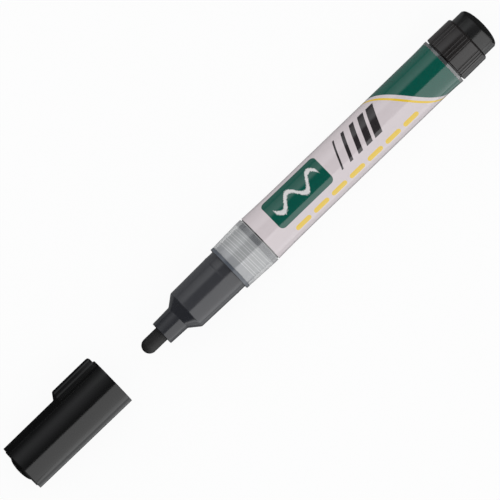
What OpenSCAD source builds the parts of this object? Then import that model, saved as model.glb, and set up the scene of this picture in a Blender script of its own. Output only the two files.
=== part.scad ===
// Liquid chalk marker with its cap pulled off in front of the nib.
// The marker lies along X, nib towards -X and tail towards +X, all in millimetres.
// The origin is on the axis, in the middle of the barrel's straight stretch.

/* [Barrel] */
// Length of the barrel tube, from the nose flange to the tail plug
barrel_len = 86; // [76:1:110]
// Outer diameter of the bare tube on its straight stretch
barrel_d = 15.26; // [14.8:0.02:17]
// Wall of the tube
barrel_wall = 1.1; // [0.9:0.05:1.2]
// Length of the bare collar in front of the label
collar_len = 11.2; // [10.8:0.1:14]
// How far the collar's back edge stands proud of the straight stretch
collar_rise = 0.39; // [0.3:0.01:0.6]
// How much the collar's radius narrows towards the nose
collar_taper = 0.38; // [0.1:0.01:0.5]
// Width of the open groove between collar and label
groove_w = 0.45; // [0.3:0.05:0.8]
// Depth of that groove below the collar's back edge
groove_depth = 0.5; // [0.3:0.05:0.6]
// Rise of the tube at the label's front edge
shoulder_rise = 0.24; // [0:0.01:0.3]
// Length over which that rise fades out
shoulder_run = 24; // [12:1:30]
// Rise of the tube at its tail end
tail_rise = 0.17; // [0:0.01:0.25]
// Length over which the tail end flares
tail_run = 6; // [3:0.5:12]
// Width of the bare band behind the label
tail_band = 1.1; // [0.5:0.1:2]

/* [Label] */
// Thickness of the wrapped film
film_t = 0.1; // [0.06:0.01:0.14]

/* [Nose] */
// How far the flange's radius stands proud of the barrel's front edge
flange_lip = 0.04; // [0:0.01:0.3]
// Thickness of the flange
flange_t = 1.1; // [0.8:0.1:2]
// How far the nose body's radius is set in from the flange's
nose_inset = 0.84; // [0.5:0.02:1]
// Length of the nose body
nose_len = 17.1; // [16:0.1:22]
// How much the nose body's radius narrows towards the front
nose_taper = 0.23; // [0:0.01:0.3]
// Length of the cone
cone_len = 3.3; // [2:0.1:5]
// Diameter of the nib tube where it leaves the cone
tube_d = 8.12; // [7.8:0.02:9]
// How much the nib tube's radius narrows towards the front
tube_taper = 0.22; // [0:0.01:0.3]
// Length of the nib tube
tube_len = 6.6; // [5:0.1:9]
// Wall of the nose body
nose_wall = 1.2; // [1:0.05:1.6]
// Length of the skirt that screws into the barrel
skirt_len = 10.8; // [10:0.1:11.2]
// Height of the bead that holds the cap
bead_h = 0.1; // [0.05:0.01:0.12]

/* [Nib] */
// Diameter of the writing nib
nib_d = 4.8; // [4:0.05:5]
// Length of nib that shows in front of the tube
nib_out = 7.3; // [5:0.1:9]
// Whole length of the nib
nib_len = 24; // [22:0.5:27]
// How far the nib presses in
nib_travel = 2.5; // [1.5:0.1:3]

/* [Valve] */
// Thickness of the seat ring
seat_t = 1.6; // [1.2:0.1:2]
// Diameter of the hole in the seat ring
seat_hole_d = 4.4; // [4:0.1:4.8]
// Wall of the valve housing
housing_wall = 0.9; // [0.6:0.05:1]
// Length of housing that stands out behind the skirt
housing_out = 5.2; // [4.5:0.1:8]
// Diameter of the stem's rod
stem_d = 3; // [2.4:0.1:3.2]
// Diameter of the spring wire
wire_d = 0.5; // [0.4:0.05:0.6]
// Curls of the spring
spring_curls = 7; // [5:1:8]

/* [Mixing ball] */
// Diameter of the loose mixing ball
ball_d = 6; // [4:0.5:8]

/* [Tail plug] */
// How far the fluted grip's radius is set in from the barrel's tail
grip_inset = 0.07; // [0:0.01:0.3]
// Length of the fluted grip
grip_len = 9.2; // [6:0.1:12]
// Radial play of the cap when it is pushed onto the post behind the grip
post_fit = 0.12; // [0.05:0.01:0.4]
// Length of the post
post_len = 4; // [3:0.1:6]
// Height of the plug's crown
crown_h = 1.9; // [1:0.1:2.5]
// Length of the plug inside the barrel
insert_len = 8; // [6:0.5:12]
// Groups of fine flutes round the grip
flute_groups = 8; // [6:1:10]
// Flutes in each group
flutes_per_group = 3; // [2:1:3]

/* [Cap] */
// Wall of the cap at its mouth
cap_wall = 0.9; // [0.8:0.05:1.2]
// How much the cap's radius narrows towards the closed end
cap_taper = 0.15; // [0:0.01:0.2]
// Thickness of the cap's closed end
cap_end_wall = 1.2; // [1:0.1:2]
// Distance from the cap's mouth to the nib when the cap is off
cap_gap = 12.3; // [5:0.1:30]
// Length of the anti-roll pad on the cap
pad_len = 16; // [10:0.1:20]
// Height of the pad above the cap
pad_h = 2.05; // [1:0.05:2.5]
// Half of the angle that the pad's round crest covers, in degrees
pad_crest = 34; // [26:0.5:36]
// Turn of the pad's middle from +Y, in degrees, down to where its crest's lower edge rests on the table
pad_turn = -24.3; // [-30:0.1:-18]
// Diameter of the dome in the cap's closed end
dome_d = 8.7; // [8:0.1:10]
// Height of the dome
dome_h = 1.25; // [0.8:0.05:1.6]

/* [Hidden] */
$fn = 96;

// Fits: what is pushed together, what slides, and what must stay free
seat_gap = 0.03;
running_gap = 0.1;
free_gap = 0.3;
cap_fit = 0.21;
stop_gap = 0.2;
overrun = 1;
edge = 0.2;

// Barrel, from front to back
barrel_r = barrel_d / 2;
bore_r = barrel_r - barrel_wall;
socket_depth = 0.27;
socket_r = bore_r + socket_depth;
gasket_t = 0.5;
collar_r = barrel_r + collar_rise;
groove_r = collar_r - groove_depth;
label_lead = collar_len + groove_w;
straight_len = barrel_len - label_lead - shoulder_run - tail_run;
straight_back = straight_len / 2;
straight_front = -straight_len / 2;
label_front = straight_front - shoulder_run;
collar_back = label_front - groove_w;
front_x = collar_back - collar_len;
tail_x = front_x + barrel_len;
label_back = tail_x - tail_band;
tail_r = barrel_r + tail_rise + film_t;
curve_steps = 6;
collar_power = 1.4;
shoulder_power = 3;
tail_power = 2;

// Nose, forwards from the flange
flange_front = front_x - flange_t;
body_front = flange_front - nose_len;
cone_front = body_front - cone_len;
tube_front = cone_front - tube_len;
nib_tip = tube_front - nib_out;
flange_r = collar_r - collar_taper + flange_lip;
body_r = flange_r - nose_inset;
body_front_r = body_r - nose_taper;
tube_r = tube_d / 2;
tube_front_r = tube_r - tube_taper;
bead_setback = 2.4;
bead_w = 0.8;
skirt_back = front_x + skirt_len;
skirt_r = socket_r - seat_gap;
thread_relief = 0.35;
thread_setback = 1.4;
chamber_r = body_front_r - nose_wall;
chamber_step = 0.5;
cavity_r = chamber_r - chamber_step;
seat_setback = 2.3;
seat_front = front_x - seat_setback - seat_t;
seat_back = front_x - seat_setback;
cavity_front = body_front + nose_wall;

// Nib and stem
nib_r = nib_d / 2;
nib_bore_r = nib_r + running_gap;
nib_back = nib_tip + nib_len;
guide_back = cone_front;
cup_depth = 2;
cup_floor_t = 1;
cup_wall = 0.8;
cup_r = nib_r + seat_gap + cup_wall;
cup_front = nib_back - cup_depth;
cup_back = nib_back + cup_floor_t;
stem_r = stem_d / 2;
seat_hole_r = seat_hole_d / 2;
seat_bevel = 0.7;
head_lift = 0.15;
head_t = 1;
head_r = seat_hole_r + seat_bevel;
head_front = seat_back - seat_bevel + head_lift;
head_edge = head_front + head_r - stem_r;
head_back = head_edge + head_t;
tail_pin_d = 2.4;
tail_pin_r = tail_pin_d / 2;
tail_pin_out = 1.2;
stop_rim = 0.4;
stop_r = seat_hole_r + stop_rim;
stop_back = seat_front - nib_travel - running_gap;

// Valve housing and spring
housing_r = chamber_r - seat_gap;
housing_bore_r = housing_r - housing_wall;
housing_back = skirt_back + housing_out;
housing_base = 1;
housing_floor = housing_back - housing_base;
window_count = 4;
window_w = 2.6;
window_margin = 0.6;
flow_hole_d = 1.2;
flow_holes = 6;
flow_ring_r = (tail_pin_r + running_gap + housing_bore_r) / 2;
stem_back = housing_back + tail_pin_out;
wire_r = wire_d / 2;
spring_r = head_r - wire_r;
spring_from = head_back + running_gap + wire_r;
spring_to = housing_floor - running_gap - wire_r;
rings_per_curl = 8;
wire_sides = 6;

// Mixing ball, lying on the wall of the bore
ball_r = ball_d / 2;

// Tail plug
insert_r = bore_r - seat_gap;
plug_neck = 1.1;
neck_land = 0.4;
neck_len = 2;
stop_collar_t = 0.3;
stop_collar_r = bore_r + socket_depth;
grip_r = tail_r - grip_inset;
grip_taper = 0.08;
grip_front = tail_x + stop_collar_t;
grip_back = grip_front + grip_len;
grip_bevel = 0.5;
post_r = body_r + cap_fit - post_fit;
post_back = grip_back + post_len;
crown_inset = 0.35;
crown_steps = 8;
plug_wall = 1.4;
flute_r = 0.26;
flute_step_angle = 8;
flute_turn = -1.7;

// Cap, with its closed end towards -X
cap_bore_r = body_r + cap_fit;
cap_mouth_r = cap_bore_r + cap_wall;
cap_end_r = cap_mouth_r - cap_taper;
cap_mouth = nib_tip - cap_gap;
tip_room = 0.6;
inner_base_t = 0.8;
cap_depth = flange_front - nib_tip - stop_gap + tip_room + inner_base_t;
cap_len = cap_depth + cap_end_wall;
cap_floor = cap_mouth - cap_depth;
cap_end = cap_mouth - cap_len;
rim_w = 0.5;
rim_inset = 1.2;
rim_h = 0.3;
dome_r = dome_d / 2;
dome_steps = 6;
sleeve_fit = 0.14;
sleeve_wall = 0.9;
sleeve_r = tube_r + sleeve_fit;
sleeve_mouth = cap_floor + inner_base_t + tip_room + nib_out + tube_len - stop_gap;
snap_back = cap_mouth - bead_setback + stop_gap + running_gap;
snap_front = snap_back - bead_w - 2 * running_gap;
pad_setback = 0.55;
pad_ramp = 1.5;
pad_round = 0.75;
pad_sink = 0.3;
pad_flank_sink = 0.05;
round_steps = 4;
pad_back = cap_mouth - pad_setback;
pad_front = pad_back - pad_len;
pad_top_r = cap_mouth_r + pad_h;
pad_flank_r = cap_end_r - pad_flank_sink;
pad_flank_turn = pad_crest + acos(pad_flank_r / pad_top_r);
pad_groove_r = 0.2;
crest_grooves = 7;
pad_groove_step = 2 * pad_crest / crest_grooves;
pad_grooves_aside = 5;

// Outline points are pairs of radius and station along X
module turned(points) {
    rotate([0, 90, 0])
        rotate_extrude()
            polygon(points);
}

// Puts its children round the X axis at a radius, turned by an angle from +Y
module around(angle, radius) {
    rotate([angle, 0, 0])
        translate([0, radius, 0])
            children();
}

// A round bar along X
module bar(radius, from, to) {
    translate([from, 0, 0])
        rotate([0, 90, 0])
            cylinder(r = radius, h = to - from);
}

// The seat that the label is wound on, raised by the film's thickness for its outside
function label_line(lift) = concat(
    [
        for (i = [0:curve_steps])
            let (u = i / curve_steps)
            [
                barrel_r + lift + shoulder_rise * pow(1 - u, shoulder_power),
                label_front + shoulder_run * u
            ]
    ],
    [
        for (i = [0:curve_steps])
            let (u = i / curve_steps)
            [
                barrel_r + lift + tail_rise * pow(u, tail_power),
                straight_back + (label_back - straight_back) * u
            ]
    ]
);

function collar_line() = [
    for (i = [0:curve_steps])
        let (u = i / curve_steps)
        [collar_r - collar_taper * pow(1 - u, collar_power), front_x + collar_len * u]
];

// A shallow crown from a rim radius to the axis, growing along X by its height
function crown_line(rim_r, height, from, steps) =
    let (ball = (rim_r * rim_r + height * height) / (2 * height))
    [
        for (i = [0:steps])
            let (r = rim_r * (1 - i / steps))
            [r, from + sign(height) * (sqrt(ball * ball - r * r) - abs(ball) + abs(height))]
    ];

function reversed(points) = [
    for (i = [len(points) - 1:-1:0])
        points[i]
];

module barrel_tube() {
    color([0.86, 0.87, 0.87, 0.6])
        turned(concat(
            collar_line(),
            [[groove_r, collar_back], [groove_r, label_front]],
            label_line(0),
            [
                [tail_r, label_back],
                [tail_r, tail_x],
                [bore_r, tail_x],
                [bore_r, skirt_back + gasket_t],
                [socket_r, skirt_back + gasket_t],
                [socket_r, front_x]
            ]
        ));
}

module label_sleeve() {
    color([0.95, 0.94, 0.94])
        turned(concat(label_line(film_t), reversed(label_line(0))));
}

module nose_housing() {
    color([0.16, 0.16, 0.18])
        turned([
            [nib_bore_r, tube_front],
            [tube_front_r - edge, tube_front],
            [tube_front_r, tube_front + edge],
            [tube_r, cone_front],
            [body_front_r, body_front],
            [body_r, flange_front - bead_setback - bead_w],
            [body_r + bead_h, flange_front - bead_setback - bead_w / 2],
            [body_r, flange_front - bead_setback],
            [body_r, flange_front],
            [flange_r - edge, flange_front],
            [flange_r, flange_front + edge],
            [flange_r, front_x],
            [skirt_r, front_x],
            [skirt_r, front_x + thread_setback],
            [skirt_r - thread_relief, front_x + thread_setback],
            [skirt_r - thread_relief, skirt_back - thread_setback],
            [skirt_r, skirt_back - thread_setback],
            [skirt_r, skirt_back],
            [chamber_r, skirt_back],
            [chamber_r, seat_front],
            [cavity_r, seat_front],
            [cavity_r, cavity_front],
            [nib_bore_r, guide_back]
        ]);
}

module nose_gasket() {
    color([0.08, 0.08, 0.09])
        turned([
            [chamber_r + seat_gap, skirt_back],
            [skirt_r, skirt_back],
            [skirt_r, skirt_back + gasket_t],
            [chamber_r + seat_gap, skirt_back + gasket_t]
        ]);
}

module nib() {
    color([0.13, 0.13, 0.13])
        turned(concat(
            reversed(crown_line(nib_r, -nib_r, nib_tip + nib_r, crown_steps)),
            [[nib_r, nib_back], [0, nib_back]]
        ));
}

module valve_seat() {
    color([0.75, 0.2, 0.15])
        turned([
            [seat_hole_r, seat_front],
            [housing_r, seat_front],
            [housing_r, seat_back],
            [seat_hole_r + seat_bevel, seat_back],
            [seat_hole_r, seat_back - seat_bevel]
        ]);
}

module valve_stem() {
    color([0.93, 0.93, 0.9])
        turned([
            [nib_r + seat_gap, cup_front],
            [cup_r, cup_front],
            [cup_r, cup_back - cup_floor_t / 2],
            [stop_r, cup_back],
            [stop_r, stop_back],
            [stem_r, stop_back],
            [stem_r, head_front],
            [head_r, head_edge],
            [head_r, head_back],
            [tail_pin_r, head_back],
            [tail_pin_r, stem_back],
            [0, stem_back],
            [0, nib_back],
            [nib_r + seat_gap, nib_back]
        ]);
}

// Centre of the spring's wire at a turn angle
function spring_at(angle) =
    let (share = angle / (360 * spring_curls))
    [
        spring_from + (spring_to - spring_from) * share,
        spring_r * cos(angle),
        spring_r * sin(angle)
    ];

spring_centres = [
    for (i = [0:rings_per_curl * spring_curls])
        spring_at(360 * i / rings_per_curl)
];

// Ring of points round the wire, square to its run
function wire_ring(angle) =
    let (
        climb = (spring_to - spring_from) / (2 * PI * spring_curls),
        run = norm([climb, spring_r]),
        outward = [0, cos(angle), sin(angle)],
        aside = [spring_r, climb * sin(angle), -climb * cos(angle)] / run
    )
    [
        for (k = [0:wire_sides - 1])
            let (turn = 360 * k / wire_sides)
            spring_at(angle) + wire_r * (cos(turn) * outward + sin(turn) * aside)
    ];

spring_gap = min([
    for (i = [0:len(spring_centres) - 1])
        for (j = [i + rings_per_curl / 2:len(spring_centres) - 1])
            norm(spring_centres[i] - spring_centres[j]) - wire_d
]);
echo(str("least gap of the valve spring to itself: ", spring_gap, " mm"));

module valve_spring() {
    rings = rings_per_curl * spring_curls;
    last = rings * wire_sides;
    points = [
        for (i = [0:rings])
            each wire_ring(360 * i / rings_per_curl)
    ];
    sides = [
        for (i = [0:rings - 1])
            for (k = [0:wire_sides - 1])
                let (
                    a = i * wire_sides + k,
                    b = i * wire_sides + (k + 1) % wire_sides
                )
                each [[a, b, b + wire_sides], [a, b + wire_sides, a + wire_sides]]
    ];
    ends = [
        for (k = [1:wire_sides - 2])
            each [[0, k + 1, k], [last, last + k, last + k + 1]]
    ];
    color([0.7, 0.7, 0.72])
        polyhedron(points = points, faces = concat(sides, ends));
}

module valve_housing() {
    window_front = skirt_back + gasket_t + window_margin;
    window_back = housing_floor - window_margin;
    color([0.9, 0.9, 0.88])
        difference() {
            turned([
                [housing_bore_r, seat_back],
                [housing_r, seat_back],
                [housing_r, housing_back],
                [tail_pin_r + running_gap, housing_back],
                [tail_pin_r + running_gap, housing_floor],
                [housing_bore_r, housing_floor]
            ]);
            for (i = [0:window_count - 1])
                rotate([360 * i / window_count, 0, 0])
                    translate([window_front, 0, -window_w / 2])
                        cube([window_back - window_front, housing_r + overrun, window_w]);
            for (i = [0:flow_holes - 1])
                around(360 * i / flow_holes, flow_ring_r)
                    bar(flow_hole_d / 2, housing_floor - overrun, housing_back + overrun);
        }
}

module mixing_ball() {
    color([0.72, 0.73, 0.75])
        translate([0, 0, ball_r + free_gap - bore_r])
            sphere(r = ball_r);
}

module tail_plug() {
    color([0.1, 0.1, 0.11])
        difference() {
            turned(concat(
                [
                    [insert_r - edge, tail_x - insert_len],
                    [insert_r, tail_x - insert_len + edge],
                    [insert_r, tail_x - neck_land - neck_len],
                    [insert_r - plug_neck, tail_x - neck_land - neck_len],
                    [insert_r - plug_neck, tail_x - neck_land],
                    [insert_r, tail_x - neck_land],
                    [insert_r, tail_x],
                    [stop_collar_r, tail_x],
                    [stop_collar_r, grip_front],
                    [grip_r - edge, grip_front],
                    [grip_r, grip_front + edge],
                    [grip_r - grip_taper, grip_back - grip_bevel],
                    [grip_r - grip_taper - grip_bevel, grip_back],
                    [post_r, grip_back],
                    [post_r, post_back]
                ],
                crown_line(post_r - crown_inset, crown_h, post_back, crown_steps),
                [
                    [0, post_back - plug_wall],
                    [insert_r - plug_neck - plug_wall, post_back - plug_wall],
                    [insert_r - plug_neck - plug_wall, tail_x - insert_len]
                ]
            ));
            for (group = [0:flute_groups - 1])
                for (k = [0:flutes_per_group - 1])
                    around(
                        360 * group / flute_groups + flute_turn
                            + flute_step_angle * (k - (flutes_per_group - 1) / 2),
                        grip_r
                    )
                        bar(flute_r, grip_front - overrun, grip_back + overrun);
        }
}

// Outline of the pad, drawn as if it went right round the cap
pad_line = concat(
    [
        [cap_end_r - pad_sink, pad_front],
        [cap_end_r, pad_front],
        [pad_top_r, pad_front + pad_ramp]
    ],
    [
        for (i = [0:round_steps])
            let (turn = 90 * i / round_steps)
            [
                pad_top_r - pad_round * (1 - cos(turn)),
                pad_back - pad_round * (1 - sin(turn))
            ]
    ],
    [[cap_end_r - pad_sink, pad_back]]
);

// A round crest with two flat flanks that run out nearly level with the cap
module cap_pad() {
    intersection() {
        turned(pad_line);
        rotate([pad_turn, 0, 0])
            translate([pad_front - overrun, 0, 0])
                rotate([90, 0, 90])
                    linear_extrude(height = pad_len + 2 * overrun)
                        polygon([
                            [0, 0],
                            pad_flank_r * [cos(pad_flank_turn), -sin(pad_flank_turn)],
                            [pad_flank_r / cos(pad_flank_turn), 0],
                            pad_flank_r * [cos(pad_flank_turn), sin(pad_flank_turn)]
                        ]);
    }
}

// Distance of the pad's surface from the axis, at a turn from the pad's middle
function pad_surface(turn) =
    min(pad_top_r, pad_flank_r / cos(pad_flank_turn - abs(turn)));

module cap_shell() {
    color([0.14, 0.14, 0.15])
        difference() {
            union() {
                turned([
                    [0, cap_end],
                    [cap_end_r - rim_inset - rim_w, cap_end],
                    [cap_end_r - rim_inset - rim_w, cap_end - rim_h],
                    [cap_end_r - rim_inset, cap_end - rim_h],
                    [cap_end_r - rim_inset, cap_end],
                    [cap_end_r - edge, cap_end],
                    [cap_end_r, cap_end + edge],
                    [cap_mouth_r, cap_mouth - edge],
                    [cap_mouth_r - edge, cap_mouth],
                    [0, cap_mouth]
                ]);
                cap_pad();
            }
            bar(cap_bore_r, cap_floor, cap_mouth + overrun);
            bar(cap_bore_r + bead_h, snap_front, snap_back);
            bar(dome_r + seat_gap, cap_end - overrun, cap_floor + overrun);
            for (i = [-pad_grooves_aside:pad_grooves_aside])
                let (turn = pad_groove_step * i)
                around(pad_turn + turn, pad_surface(turn))
                    bar(pad_groove_r, pad_front, pad_back + overrun);
        }
}

module inner_cap() {
    color([0.1, 0.1, 0.1])
        turned(concat(
            reversed(crown_line(dome_r, -dome_h, cap_end, dome_steps)),
            [
                [dome_r, cap_floor],
                [cap_bore_r - seat_gap, cap_floor],
                [cap_bore_r - seat_gap, cap_floor + inner_base_t],
                [sleeve_r + sleeve_wall, cap_floor + inner_base_t],
                [sleeve_r + sleeve_wall, sleeve_mouth],
                [sleeve_r, sleeve_mouth],
                [sleeve_r, cap_floor + inner_base_t],
                [0, cap_floor + inner_base_t]
            ]
        ));
}

barrel_tube();
label_sleeve();
nose_housing();
nose_gasket();
nib();
valve_seat();
valve_stem();
valve_spring();
valve_housing();
mixing_ball();
tail_plug();
cap_shell();
inner_cap();
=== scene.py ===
"""Liquid chalk marker with its cap off: the dressed model, its light and its camera.

Lengths are in millimetres until a mesh is made. The marker lies along X, with its nib towards -X.
Angles round it start at +Y and turn towards +Z, as in the solids.
"""

import math

import bmesh
import bpy
from mathutils import Matrix, Vector


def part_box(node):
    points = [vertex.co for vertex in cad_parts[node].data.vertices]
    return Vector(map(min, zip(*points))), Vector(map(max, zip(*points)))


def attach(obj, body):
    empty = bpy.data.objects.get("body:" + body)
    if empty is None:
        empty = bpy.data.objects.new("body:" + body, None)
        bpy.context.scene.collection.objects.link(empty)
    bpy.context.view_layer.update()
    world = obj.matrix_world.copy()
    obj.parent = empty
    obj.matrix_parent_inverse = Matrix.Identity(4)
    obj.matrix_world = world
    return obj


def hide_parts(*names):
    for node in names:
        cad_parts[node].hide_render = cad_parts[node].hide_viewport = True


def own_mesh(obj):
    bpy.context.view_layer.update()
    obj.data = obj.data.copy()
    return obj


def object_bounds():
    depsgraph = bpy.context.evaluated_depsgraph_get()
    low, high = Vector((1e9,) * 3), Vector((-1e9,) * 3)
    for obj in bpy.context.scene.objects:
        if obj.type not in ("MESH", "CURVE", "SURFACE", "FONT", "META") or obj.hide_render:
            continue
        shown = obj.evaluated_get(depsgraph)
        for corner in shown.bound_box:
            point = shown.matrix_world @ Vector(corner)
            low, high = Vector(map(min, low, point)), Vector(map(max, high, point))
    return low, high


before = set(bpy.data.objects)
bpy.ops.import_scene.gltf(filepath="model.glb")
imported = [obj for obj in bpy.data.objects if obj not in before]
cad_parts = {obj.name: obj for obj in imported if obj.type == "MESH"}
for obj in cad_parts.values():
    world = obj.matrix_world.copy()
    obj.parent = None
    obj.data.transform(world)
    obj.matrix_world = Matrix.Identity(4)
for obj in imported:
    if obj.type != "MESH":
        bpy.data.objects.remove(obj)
cad_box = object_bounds()

MM = 0.001


def span(node):
    """Where a CAD node begins and ends along X, and the radius it reaches above the axis."""
    low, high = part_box(node)
    return low.x / MM, high.x / MM, high.z / MM


# Stations and radii, taken from the solids
front_x, tail_x, collar_r = span("barrel_tube")
label_front, label_back, _ = span("label_sleeve")
tube_front, skirt_back, flange_r = span("nose_housing")
nib_tip, nib_back, nib_r = span("nib")
plug_front, plug_tip, grip_r = span("tail_plug")
cap_rim, cap_mouth, cap_mouth_r = span("cap_shell")
dome_tip, sleeve_mouth, inner_r = span("inner_cap")
seat_front, _, chamber_r = span("valve_seat")
spring_front, spring_back, spring_out_r = span("valve_spring")

# Gap that keeps two pieces apart where their solids touch
FIT = 0.03

# Barrel and label
FILM = 0.1
WALL = 1.1
BARREL_R = 7.63
BORE_R = BARREL_R - WALL
SOCKET_DEPTH = 0.27
SOCKET_R = BORE_R + SOCKET_DEPTH
SOCKET_PAST_SKIRT = 0.5
COLLAR_LEN = 11.2
COLLAR_TAPER = 0.38
COLLAR_POWER = 1.4
GROOVE_DEPTH = 0.5
GROOVE_R = collar_r - GROOVE_DEPTH
SHOULDER_RISE = 0.24
SHOULDER_RUN = 24
SHOULDER_POWER = 3
TAIL_RISE = 0.17
TAIL_RUN = 4.9
TAIL_POWER = 2
TAIL_R = BARREL_R + TAIL_RISE + FILM
TAIL_NOTCH = 0.15
LINING_FRONT = 0.2
LINING_LEN = 9.1
LINING_T = 0.01
SEAM_TURN = -96
SEAM_BEFORE = 0.5
SEAM_STEP = 0.12
SEAM_AFTER = 0.6
SEAM_FADE = 14
FILM_LIFT = 0.45 * FILM
FILM_SEAT = 0.02

# Nose and its thread
FLANGE_T = 1.1
FLANGE_LIP = 0.84
NOSE_LEN = 17.1
CONE_LEN = 3.3
BODY_DRAFT = 0.23
BODY_R = flange_r - FLANGE_LIP
BODY_FRONT_R = BODY_R - BODY_DRAFT
TUBE_DRAFT = 0.22
TUBE_R = 4.06
TUBE_FRONT_R = TUBE_R - TUBE_DRAFT
NIB_GAP = 0.1
NIB_BORE_R = nib_r + NIB_GAP
SKIRT_R = SOCKET_R - FIT
CHAMBER_STEP = 0.47
CAVITY_R = chamber_r - CHAMBER_STEP
CAVITY_SETBACK = 1.2
BEAD_SETBACK = 2.8
BEAD_HALF = 0.45
BEAD_RISE = 0.1
THREAD_RELIEF = 0.35
THREAD_SETBACK = 1.4
THREAD_SLOPE = 0.2
THREAD_LEAD = 1.75
THREAD_PITCH = 1.94
THREAD_TURNS = 3.6
THREAD_FIRST = 250
THREAD_SIDES = 72
THREAD_FADE = 0.5
THREAD_LEAST = 0.02
RIB_FOOT_HALF = 0.52
RIB_TOP_HALF = 0.28
RIB_ROOT = 0.08
RIB_GAP = 0.02
LINE_OFFSET = 0.36
LINE_FOOT = 0.04
LINE_TOP = 0.14
LINE_HALF = 0.02
LINE_GROWTH = 0.08

# Tail plug
INSERT_R = BORE_R - FIT
INSERT_GROOVE_FRONT = 2.4
INSERT_GROOVE_BACK = 0.4
INSERT_GROOVE_DEPTH = 1.1
STOP_GAP = 0.02
NOTCH_LEN = 0.3
GRIP_LEN = 9.2
GRIP_EDGE = 0.2
GRIP_DRAFT = 0.08
GRIP_SHOULDER_LEN = 0.5
GRIP_SHOULDER_DROP = 0.58
POST_R = 6.93
POST_LEN = 4
CROWN_H = 1.9
CROWN_INSET = 0.18
CROWN_T = 1.4
PLUG_WALL = 2.5
FLUTE_R = 0.26
FLUTE_SPREAD = 1.15
FLUTE_DEPTH = 0.24
FLUTE_GROUPS = 8
FLUTE_PITCH = 8
FLUTE_TURN = -1.7

# Cap
CAP_GAP = 0.21
CAP_BORE_R = BODY_R + CAP_GAP
CAP_TAPER = 0.15
CAP_END_R = cap_mouth_r - CAP_TAPER
CAP_FLOOR_T = 1.2
RING_RISE = 0.3
RING_FOOT = 0.1
RING_OUTER_INSET = 1.2
RING_INNER_INSET = 1.7
SNAP_FRONT = 3.2
SNAP_BACK = 1.7
SNAP_SLOPE = 0.3
SNAP_DEPTH = 0.12
DOME_R = 4.35
DISC_T = 0.8
SLEEVE_GAP = 0.14
SLEEVE_WALL = 0.9
PAD_TOP_R = 10
PAD_TURN = -24.3
PAD_CREST = 34
PAD_FLANK_INSET = 0.05
PAD_FLANK_R = CAP_END_R - PAD_FLANK_INSET
PAD_LEN = 16
PAD_SETBACK = 0.55
PAD_RAMP = 1.5
PAD_LIP = 0.05

# Valve spring
WIRE_R = 0.25
CURLS = 7
WIRE_SIDES = 12
SIDES_PER_CURL = 48

thread_start = front_x + THREAD_LEAD
flange_front = front_x - FLANGE_T
body_front = flange_front - NOSE_LEN
cone_front = body_front - CONE_LEN
bead_x = flange_front - BEAD_SETBACK
collar_back = front_x + COLLAR_LEN
cap_end = cap_rim + RING_RISE
cap_floor = cap_end + CAP_FLOOR_T
pad_back = cap_mouth - PAD_SETBACK
pad_front = pad_back - PAD_LEN
grip_front = tail_x + NOTCH_LEN
grip_back = grip_front + GRIP_LEN
post_back = grip_back + POST_LEN

# Outlines


def shares(steps):
    return [k / steps for k in range(steps + 1)]


def soft_turn(start, corner, end, steps):
    """Places on a quadratic curve from start to end that bends round a corner."""
    return [start * (1 - t) ** 2 + corner * 2 * t * (1 - t) + end * t * t for t in shares(steps)]


def rounded(corners, steps=4):
    """Outline of (x, radius, fillet[, swell]) corners with each corner turned by its fillet."""
    most = 0.48  # a fillet takes up less than half of the side beside it
    places = [Vector((c[0], c[1], c[3] if len(c) > 3 else 0)) for c in corners]
    outline = []
    for i, (here, corner) in enumerate(zip(places, corners)):
        fillet = corner[2]
        if not fillet:
            outline.append(tuple(here))
            continue
        back, on = places[i - 1] - here, places[(i + 1) % len(places)] - here
        reach = min(fillet, most * back.length, most * on.length)
        start, end = here + back.normalized() * reach, here + on.normalized() * reach
        outline += [tuple(place) for place in soft_turn(start, here, end, steps)]
    return outline


def crown(rim_r, height, at, steps=14):
    """A crown shaped as half an ellipse, from its rim to the axis, as (x, radius, 0)."""
    quarter = [math.pi / 2 * share for share in shares(steps)[:-1]]
    curve = [(at + height * math.sin(t), rim_r * math.cos(t), 0) for t in quarter]
    return curve + [(at + height, 0, 0)]


def angle_between(one, two):
    """The least angle between two angles, in degrees."""
    return abs((one - two + 180) % 360 - 180)


# Meshes

SIDES = 120
EVEN_TURNS = [(360 * k / SIDES, 0) for k in range(SIDES)]
SHARP_ANGLE = math.radians(32)
ON_AXIS = 1e-6


def finish(name, bm, body, material, stands_for=()):
    """Makes a piece of a built shape: smooth shaded, with its body and material."""
    bmesh.ops.recalc_face_normals(bm, faces=bm.faces)
    mesh = bpy.data.meshes.new(name)
    bm.to_mesh(mesh)
    bm.free()
    for face in mesh.polygons:
        face.use_smooth = True
    mesh.set_sharp_from_angle(angle=SHARP_ANGLE)
    piece = bpy.data.objects.new(name, mesh)
    bpy.context.scene.collection.objects.link(piece)
    piece.data.materials.append(material)
    if stands_for:
        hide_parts(*stands_for)
    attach(piece, body)
    return piece


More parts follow.
